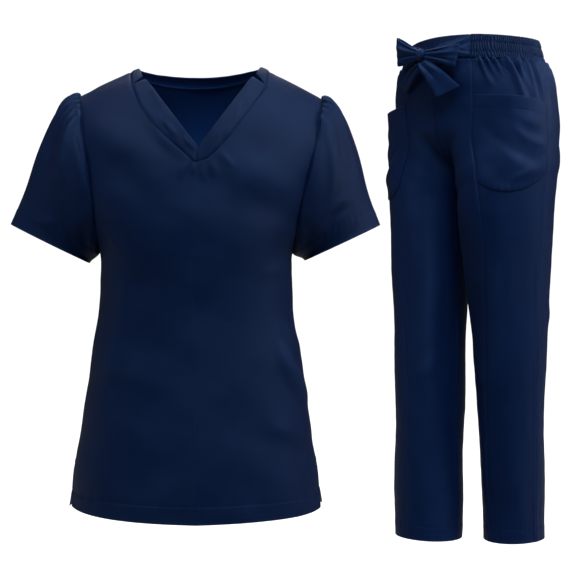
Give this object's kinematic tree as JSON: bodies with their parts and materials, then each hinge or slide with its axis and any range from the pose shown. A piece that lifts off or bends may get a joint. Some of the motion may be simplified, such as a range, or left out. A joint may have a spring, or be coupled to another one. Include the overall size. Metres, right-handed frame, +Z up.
{
  "type": "medical scrubs set",
  "caption": "Medical scrubs: a short-sleeved V-neck top with gathered caps beside straight trousers with a bow tie, elastic waist and patch pockets, both filled out as if worn.",
  "frame": {"origin": "the middle of the top's neck opening, level with its highest neck points, where the top hangs from", "axes": "+Z up; -Y the way the top faces; +X the wearer's left of the top. The trousers stand beside the top at +X, a little behind it, turned 52.9 degrees to the wearer's right"},
  "size_m": [0.9518, 0.6592, 0.9322],
  "materials": {
    "top_cloth": "matt navy stretch twill with a faint sheen",
    "neckband_cloth": "matt navy twill, folded double",
    "trouser_cloth": "matt navy stretch twill with a faint sheen",
    "waistband_cloth": "matt navy twill, folded double over elastic",
    "tie_cloth": "matt navy twill, folded double"
  },
  "bodies": {
    "root": {"top_front": "top_cloth", "top_back": "top_cloth", "sleeve_left": "top_cloth", "sleeve_right": "top_cloth", "neck_band_left": "neckband_cloth", "neck_band_right": "neckband_cloth", "back_neck_band": "neckband_cloth", "trousers_front_left": "trouser_cloth", "trousers_front_right": "trouser_cloth", "trousers_side_left": "trouser_cloth", "trousers_side_right": "trouser_cloth", "trousers_back_left": "trouser_cloth", "trousers_back_right": "trouser_cloth", "waistband_front": "waistband_cloth", "waistband_back": "waistband_cloth", "pocket_left": "trouser_cloth", "pocket_right": "trouser_cloth", "tie_left": "tie_cloth", "tie_right": "tie_cloth", "bow_knot": "tie_cloth", "bow_loop_left": "tie_cloth", "bow_loop_right": "tie_cloth", "bow_tail_left": "tie_cloth", "bow_tail_right": "tie_cloth"}
  },
  "joints": []
}
